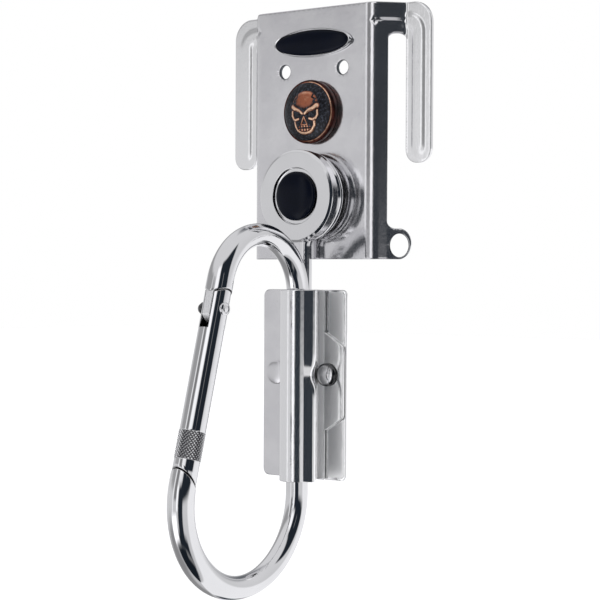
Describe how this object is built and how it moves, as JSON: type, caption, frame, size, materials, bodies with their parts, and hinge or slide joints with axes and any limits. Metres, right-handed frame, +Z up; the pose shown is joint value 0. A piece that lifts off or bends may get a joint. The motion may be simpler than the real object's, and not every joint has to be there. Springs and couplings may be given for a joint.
{
  "type": "carabiner belt hanger",
  "caption": "Polished steel belt plate with a round swivel boss, a swinging riveted clamp and a large pear-shaped wire carabiner with a sprung gate.",
  "frame": {"origin": "on the swivel's axis, on the face of the plate that lies against the belt", "axes": "+Z up, along the hanger rod and the carabiner's spine; +Y back towards the wearer; +X to the right in front view"},
  "size_m": [0.0916, 0.0879, 0.2109],
  "materials": {
    "polished_plate": "polished",
    "chrome": "mirror",
    "polished_wire": "polished",
    "spring_steel": "bright",
    "black_enamel": "glossy",
    "aged_copper": "aged copper",
    "blackened_copper": "blackened copper relief",
    "brass": "satin"
  },
  "bodies": {
    "belt_plate_body": {"belt_plate": "polished_plate", "badge_bezel": "chrome", "badge_inlay": "black_enamel", "button_cup": "aged_copper", "button_face": "blackened_copper", "button_screw": "spring_steel", "swivel_stud": "polished_wire", "base_washer": "chrome", "swivel_bush": "polished_wire", "head_disc": "chrome", "black_dome": "black_enamel"},
    "hanger_body": {"hanger_eye": "polished_wire", "clamp_back": "polished_plate", "clamp_cover": "polished_plate", "clamp_rivet_left": "chrome", "clamp_rivet_right": "chrome"},
    "carabiner_ring": {"carabiner_body": "polished_wire"},
    "gate": {"gate_bar": "polished_wire", "gate_pin": "chrome", "gate_spring": "spring_steel"},
    "plunger": {"gate_plunger": "brass"}
  },
  "joints": [
    {"name": "hanger_swing", "type": "hinge", "parent": "belt_plate_body", "child": "hanger_body", "pos_m": [0, -0.0054, 0], "axis": [0, 1, 0], "range_deg": [-120, 120]},
    {"name": "carabiner_turn", "type": "hinge", "parent": "hanger_body", "child": "carabiner_ring", "pos_m": [0.0016, -0.0119, -0.0361], "axis": [0, 0, 1], "range_deg": [-65, 85]},
    {"name": "gate_open", "type": "hinge", "parent": "carabiner_ring", "child": "gate", "pos_m": [0.0016, -0.05702, -0.04028], "axis": [1, 0, 0], "range_deg": [0, 25], "stiffness_Nm_per_rad": 0.25, "springref_deg": -28.65},
    {"name": "plunger_press", "type": "slide", "parent": "gate", "child": "plunger", "axis": [0, -0.2624, -0.965], "range_m": [0, 0.001], "deforming": ["gate_spring"]}
  ],
  "couplings": [
    {"joint": "plunger_press", "follows": "gate_open", "m_per_rad": 0.00229}
  ]
}
